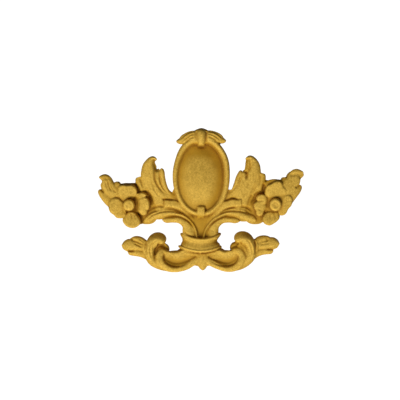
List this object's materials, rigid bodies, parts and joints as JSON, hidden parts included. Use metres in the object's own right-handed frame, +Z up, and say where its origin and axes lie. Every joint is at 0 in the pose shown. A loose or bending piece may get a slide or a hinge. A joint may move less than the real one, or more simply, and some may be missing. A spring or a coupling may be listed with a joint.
{
  "type": "wood applique",
  "caption": "Flat-backed moulded wood applique: an oval cartouche under a bow, with acanthus leaves, blossoms, a collared stem and paired C-scrolls, for fixing to a panel.",
  "frame": {"origin": "on the flat back face, on the middle line and half-way up", "axes": "+X to the viewer's right along the width, +Z up, the carved face looks along -Y and the flat back along +Y"},
  "size_m": [0.1999, 0.018, 0.14],
  "materials": {
    "wood": "unpainted, matte, fine-grained moulded wood pulp"
  },
  "bodies": {
    "root": {"applique": "wood"}
  },
  "joints": []
}
